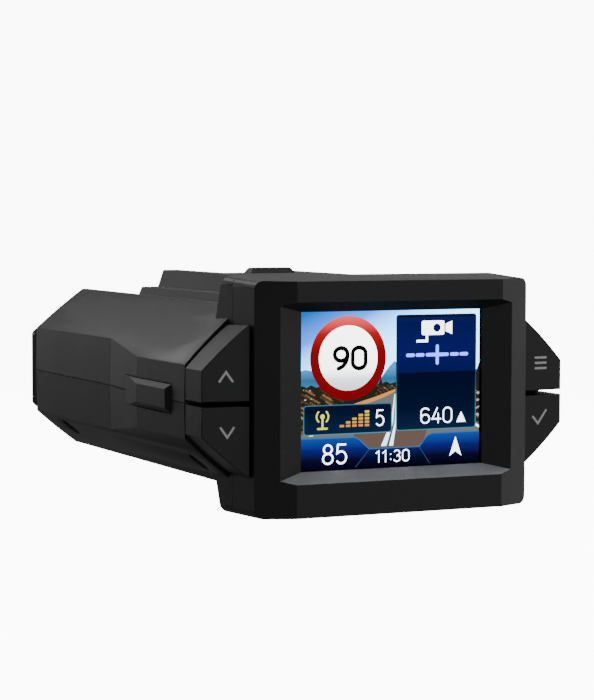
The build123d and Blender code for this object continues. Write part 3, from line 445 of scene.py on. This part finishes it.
BROWN = lit("picture_brown", (0.085, 0.056, 0.026))
DRY = lit("picture_dry", (0.34, 0.175, 0.070))
STONE = lit("picture_stone", (0.62, 0.60, 0.52))
picture("picture_flecks_brown",
        scatter(90, 0.3, 11.5, 8.6, 16.2, 0.32, 0.13)
        + scatter(16, 17.2, 21.6, 14.6, 16.6, 0.24, 0.4), BROWN)
picture("picture_flecks_dry",
        scatter(60, 0.3, 7.5, 10.2, 16.0, 0.20, 0.57)
        + scatter(14, 17.4, 21.6, 14.9, 16.4, 0.15, 0.2)
        + scatter(10, 40.15, 40.65, 9.0, 16.0, 0.16, 0.3), DRY)
picture("picture_flecks_stone",
        scatter(9, 0.2, 3.0, 8.9, 16.2, 0.16, 0.21)
        + scatter(12, 40.15, 40.7, 9.4, 15.4, 0.2, 0.8), STONE)
picture("picture_bank",
        [[(11.0, 12.7), (17.0, 14.3), (21.5, 15.7), (21.5, 15.1), (18.4, 13.6), (15.0, 12.9)]],
        lit("picture_tan", (1.05, 0.42, 0.09)))
picture("picture_bank_dry",
        [[(12.5, 12.2), (18.4, 13.9), (21.5, 15.2), (21.5, 14.4), (18.0, 13.0), (15.0, 12.3)]], DRY)
picture("picture_road",
        [[(0, 7.0), (6.0, 9.0), (13.0, 12.6), (16.0, 13.2), (21.2, 14.9), (21.9, 14.9), (31, 10.0),
          (SCREEN_W, 8.1), (SCREEN_W, 0), (0, 0)]],
        lit("picture_asphalt", (0.19, 0.205, 0.205)))
picture("picture_road_near", [[(13.0, 3.0), (12.0, 8.0), (28.9, 8.0), (27.5, 3.0)]],
        lit("picture_warm", (0.165, 0.113, 0.088)))
picture("picture_lines", [
    [(18.3, 4.3), (19.5, 4.3), (21.0, 9.0), (21.45, 14.7), (21.3, 14.7), (20.5, 9.0)],
    [(20.1, 4.3), (21.0, 4.3), (21.75, 9.0), (21.75, 14.7), (21.6, 14.7), (21.4, 9.0)],
    [(2.2, 6.9), (3.1, 6.9), (4.9, 8.0), (4.3, 8.0)],
    [(38.6, 8.2), (SCREEN_W, 7.2), (SCREEN_W, 7.7), (39.4, 8.4)]], lit("picture_paint", (1.9, 3.2, 3.9)))

# speed limit sign
SIGN = (10.9, 22.2)
SIGN_R = 8.42
SIGN_FACE_R = 6.5
sign_red = lit_ramp("picture_sign_red", [(0.0, (0.26, 0.0, 0.002)), (0.6, (0.32, 0.001, 0.002)),
                                         (0.8, (0.60, 0.012, 0.014)), (0.9, (1.2, 0.07, 0.08)),
                                         (1.0, (1.5, 0.16, 0.17))], 0.0, 16.6)
sign_white = lit_ramp("picture_sign_white", [(0.0, (1.2, 1.3, 1.4)), (0.22, (1.9, 2.1, 2.2)),
                                             (0.4, (5.0, 5.0, 5.0)), (1.0, (5.6, 5.6, 5.6))], 1.4, 14.0)
picture("picture_sign_ring", [arc(*SIGN, SIGN_R, SIGN_R, 0, 360, 72)[:-1]], sign_red)
picture("picture_sign_face", [arc(*SIGN, SIGN_FACE_R, SIGN_FACE_R, 0, 360, 72)[:-1]], sign_white)
picture("picture_sign_number", number("90", 7.85, 20.1, 4.15, 0.88, pitch=0.78, squeeze=1.24), BLACK)

# panels: one on the right, one on the lower left
panel_rim = lit_ramp("picture_panel_rim", [(0.0, TEAL), (0.35, (0.03, 0.13, 0.22)),
                                           (0.6, (0.0, 0.028, 0.146)), (1.0, (0.0, 0.028, 0.146))],
                     -5.8, 17.2)
picture("picture_panel_rims",
        [rounded(21.6, 7.2, 40.05, 30.6, 0.6), rounded(1.0, 7.0, 20.75, 13.0, 0.6)], panel_rim)
panel_low = lit_ramp("picture_panel_low", [(0.0, (0.004, 0.017, 0.055)), (0.35, (0.001, 0.006, 0.032)),
                                           (1.0, (0.0003, 0.0037, 0.025))], -5.6, 5.5)
panel_top = lit_ramp("picture_panel_top", [(0.0, (0.004, 0.006, 0.105)), (0.4, (0.007, 0.0065, 0.135)),
                                           (0.8, (0.005, 0.006, 0.105)), (1.0, (0.0, 0.014, 0.105))],
                     5.5, 17.0)
picture("picture_panel_dark",
        [rounded(21.82, 7.4, 39.83, 30.4, 0.5), rounded(1.22, 7.22, 20.53, 12.78, 0.5)], panel_low)
picture("picture_panel_blue", [[(21.9, 18.9), (39.75, 18.9), (39.75, 30.05), (21.9, 30.05)]], panel_top)

# right panel: a camera on a post, a crossing and a distance
camera_sign = [rounded(27.4, 26.4, 32.6, 29.3, 0.4),
               [(32.9, 27.1), (34.4, 26.5), (34.4, 29.2), (32.9, 28.6)]]
camera_sign += ribbon([(28.6, 26.4), (28.6, 25.2), (26.4, 25.2)], 0.5)
picture("picture_camera", camera_sign, WHITE)
picture("picture_camera_lens", [arc(30.9, 27.85, 0.85, 0.85, 0, 360, 24)[:-1]], panel_top)
cross_sign = ribbon([(31.0, 20.7), (31.0, 24.1)], 0.7)
for start, end in ((24.2, 25.5), (26.4, 27.7), (28.7, 33.3), (34.3, 35.6), (36.5, 37.8)):
    cross_sign += ribbon([(start, 22.4), (end, 22.4)], 0.7)
picture("picture_crossing", cross_sign, lit("picture_pale", (0.50, 0.85, 4.6)))
picture("picture_distance", number("640", 27.35, 8.55, 3.0, 0.28, pitch=0.75, squeeze=1.14), WHITE)
picture("picture_distance_mark", [[(35.5, 8.5), (37.7, 8.5), (36.6, 10.7)]], WHITE)

# left panel: a mast, stepped bars and a level
yellow = lit_ramp("picture_yellow", [(0.0, (1.0, 0.42, 0.10)), (0.5, (1.1, 0.78, 0.04)),
                                     (1.0, (1.5, 1.6, 0.05))], -5.0, -1.0)
mast = ribbon([(5.2, 8.3), (5.2, 10.4)], 0.45) + ribbon([(4.2, 8.3), (6.2, 8.3)], 0.4)
mast += [arc(5.2, 10.7, 0.5, 0.5, 0, 360, 16)[:-1]]
mast += (ribbon(arc(5.2, 10.7, 1.3, 1.3, -48, 48, 10), 0.34)
         + ribbon(arc(5.2, 10.7, 1.3, 1.3, 132, 228, 10), 0.34))
picture("picture_mast", mast, lit("picture_signal", (1.4, 1.4, 0.05)))
bars = []
for column in range(5):
    for row in range(column + 1):
        x, y = 9.0 + column * 1.40, 8.45 + row * 0.68
        bars.append([(x, y), (x + 0.98, y), (x + 0.98, y + 0.46), (x, y + 0.46)])
picture("picture_bars", bars, yellow)
picture("picture_level", number("5", 17.15, 8.5, 3.05, 0.28), WHITE)

# bottom bar: speed, clock and heading
blue_bar = lit_ramp("picture_bar_blue", [(0.0, (0.0001, 0.0008, 0.006)), (0.3, (0.004, 0.002, 0.030)),
                                        (0.62, (0.012, 0.012, 0.21)), (0.85, (0.010, 0.060, 0.42)),
                                        (1.0, (0.012, 0.098, 0.50))], -13.8, -7.2)
blue_low = lit_ramp("picture_bar_low", [(0.0, (0.0001, 0.001, 0.006)), (0.45, (0.0001, 0.0025, 0.030)),
                                       (1.0, (0.008, 0.016, 0.16))], -13.8, -9.6)
rim = lit("picture_rim", (0.048, 0.171, 0.457))
left_bar = [(0, 0), (0, 6.3), (12.2, 6.2), (13.2, 5.8), (15.6, 3.7), (12.3, 0)]
right_bar = [(29.6, 0), (27.0, 3.7), (28.8, 5.9), (29.8, 6.3), (SCREEN_W, 6.35), (SCREEN_W, 0)]
bar_line = [(0, 6.4), (12.2, 6.3), (13.3, 5.9), (15.6, 3.85), (27.0, 3.85), (28.8, 6.0), (29.9, 6.4),
            (SCREEN_W, 6.45)]
picture("picture_bar_rims", ribbon(bar_line, 0.25, caps=False), rim)
picture("picture_bar_sides", [left_bar, right_bar], blue_bar)
picture("picture_bar_middle", [[(12.3, 0), (15.6, 3.75), (27.0, 3.75), (29.6, 0)]], blue_low)
joints = (ribbon([(12.5, 0.3), (15.6, 3.75)], 0.14, caps=False)
          + ribbon([(29.4, 0.3), (27.0, 3.75)], 0.14, caps=False))
picture("picture_bar_joints", joints, lit("picture_joint", (0.04, 0.10, 0.22)))
picture("picture_speed", number("85", 5.3, 1.25, 3.75, 0.36, pitch=0.76, squeeze=1.05), WHITE)
picture("picture_clock", number("11:30", 17.0, 1.1, 2.25, 0.24, pitch=0.78, squeeze=1.16), WHITE)
arrow = [[(33.9, 1.6), (35.3, 5.6), (36.7, 1.6), (35.3, 2.6)]]
picture("picture_heading", arrow, WHITE)

# ---------------------------------------------------------------- key symbols
INK = printed("key_ink", (0.70, 0.70, 0.70))
KEY_IN_Y, KEY_OUT_Y = 4.76, 6.0          # a wing key's face at its inner and its outer edge
KEY_IN_X, KEY_OUT_X = 30.85, 40.64
KEY_SLOPE = (KEY_OUT_Y - KEY_IN_Y) / (KEY_OUT_X - KEY_IN_X)
INK_LIFT = 0.00003       # metres in front of the face


def key_symbol(name, side, x, z, polygons, body):
    """Symbol printed on a wing key's face, drawn round its own middle."""
    along = Vector((1, side * KEY_SLOPE, 0)).normalized()
    depth = KEY_IN_Y + KEY_SLOPE * (side * x - KEY_IN_X)
    out = Vector((side * KEY_SLOPE, -1, 0)).normalized()
    origin = place(x, depth, z) + out * INK_LIFT
    return flat_piece(name, polygons, origin, along, Vector((0, 0, 1)), INK, body)


key_symbol("symbol_up", -1, -35.75, 5.4,
           ribbon([(-1.32, -0.92), (0, 0.92), (1.32, -0.92)], 0.46), "key_up")
key_symbol("symbol_down", -1, -35.5, -5.5,
           ribbon([(-1.32, 0.92), (0, -0.96), (1.32, 0.92)], 0.46), "key_down")
key_symbol("symbol_confirm", 1, 35.1, -5.05,
           ribbon([(-1.7, 0.1), (-0.4, -1.3), (1.7, 1.35)], 0.5), "key_confirm")
menu_bars = [rounded(-1.6, h - 0.24, 1.6, h + 0.24, 0.22) for h in (-1.1, 0.0, 1.1)]
key_symbol("symbol_menu", 1, 35.3, 6.2, menu_bars, "key_menu")

# ---------------------------------------------------------------- studio, in metres
FLOOR_GLOW = 10.0
WALL_TOP = 4.0           # above the floor
WORLD_STRENGTH = 0.135


def sweep_floor():
    """Pale floor that curves up behind the part; it takes light, but throws none back at the part."""
    depth, radius, low, wide = 2.4, 1.2, -0.16, 40.0
    steps = 24
    profile = [(-wide, low), (depth, low)]
    profile += [(depth + radius * math.sin(a), low + radius - radius * math.cos(a))
                for a in [math.pi / 2 * i / steps for i in range(1, steps + 1)]]
    profile += [(depth + radius, low + WALL_TOP)]
    verts = [(x, y, z) for y, z in profile for x in (-wide, wide)]
    faces = [(2 * i, 2 * i + 1, 2 * i + 3, 2 * i + 2) for i in range(len(profile) - 1)]
    mesh = bpy.data.meshes.new("sweep")
    mesh.from_pydata(verts, [], faces)
    for face in mesh.polygons:
        face.use_smooth = True
    paint, _, _, bsdf = new_material("sweep_paint")
    bsdf.inputs["Base Color"].default_value = (0.90, 0.90, 0.90, 1)
    bsdf.inputs["Roughness"].default_value = 0.95
    bsdf.inputs["Specular IOR Level"].default_value = 0.0
    bsdf.inputs["Emission Color"].default_value = (1.0, 1.0, 1.0, 1)
    bsdf.inputs["Emission Strength"].default_value = FLOOR_GLOW
    mesh.materials.append(paint)
    obj = bpy.data.objects.new("sweep", mesh)
    obj.visible_diffuse = False
    obj.visible_glossy = False
    bpy.context.scene.collection.objects.link(obj)


def softbox(name, azimuth, elevation, distance, size, radiance):
    """Rectangular lamp aimed at the part; azimuth 0 is the road, 90 the driver's right, in degrees."""
    az, el = math.radians(azimuth), math.radians(elevation)
    where = Vector((math.sin(az) * math.cos(el), math.cos(az) * math.cos(el), math.sin(el))) * distance
    lamp = bpy.data.lights.new(name, "AREA")
    lamp.shape = "RECTANGLE"
    lamp.size, lamp.size_y = size
    lamp.energy = radiance * math.pi * size[0] * size[1]
    obj = bpy.data.objects.new(name, lamp)
    obj.location = where
    obj.rotation_mode = "QUATERNION"
    obj.rotation_quaternion = (-where).to_track_quat("-Z", "Y")
    bpy.context.scene.collection.objects.link(obj)


sweep_floor()
softbox("lamp_top", 40, 66, 1.5, (1.5, 1.3), 3.9)
softbox("lamp_right", 90, 6, 1.3, (0.8, 1.0), 1.2)
softbox("lamp_right_front", 155, 8, 1.4, (2.2, 1.1), 0.62)
softbox("lamp_back_left", -19, 5, 1.6, (0.75, 0.45), 0.92)
softbox("lamp_back_high", -28, 35, 1.6, (0.6, 0.5), 5.6)
softbox("lamp_back_right", 43, 9, 1.6, (0.4, 0.4), 1.5)

world = bpy.data.worlds.new("studio")
world.use_nodes = True
bpy.context.scene.world = world
shade = world.node_tree.nodes["Background"]
shade.inputs["Color"].default_value = (1, 1, 1, 1)
shade.inputs["Strength"].default_value = WORLD_STRENGTH

# ---------------------------------------------------------------- camera
LENS = 115.36
SENSOR = 36.0
CAMERA_AT = (-208.25, -393.17, 38.11)    # from the bezel's front and the level between the keys
cam_data = bpy.data.cameras.new("camera")
cam_data.sensor_fit = "VERTICAL"
cam_data.sensor_height = SENSOR
cam_data.sensor_width = SENSOR
cam_data.lens = LENS
cam_data.clip_start = 0.01    # metres
cam_data.clip_end = 50.0      # metres
camera = bpy.data.objects.new("camera", cam_data)
bpy.context.scene.collection.objects.link(camera)
YAW, PITCH, ROLL = math.radians(25.22), math.radians(3.62), math.radians(0.13)
look = Vector((math.sin(YAW) * math.cos(PITCH), math.cos(YAW) * math.cos(PITCH), -math.sin(PITCH)))
right = Vector((math.cos(YAW), -math.sin(YAW), 0))
up = right.cross(look)
right, up = right * math.cos(ROLL) + up * math.sin(ROLL), up * math.cos(ROLL) - right * math.sin(ROLL)
turn = Matrix((right, up, -look)).transposed()
camera.matrix_world = Matrix.Translation(place(*CAMERA_AT)) @ turn.to_4x4()
bpy.context.scene.camera = camera
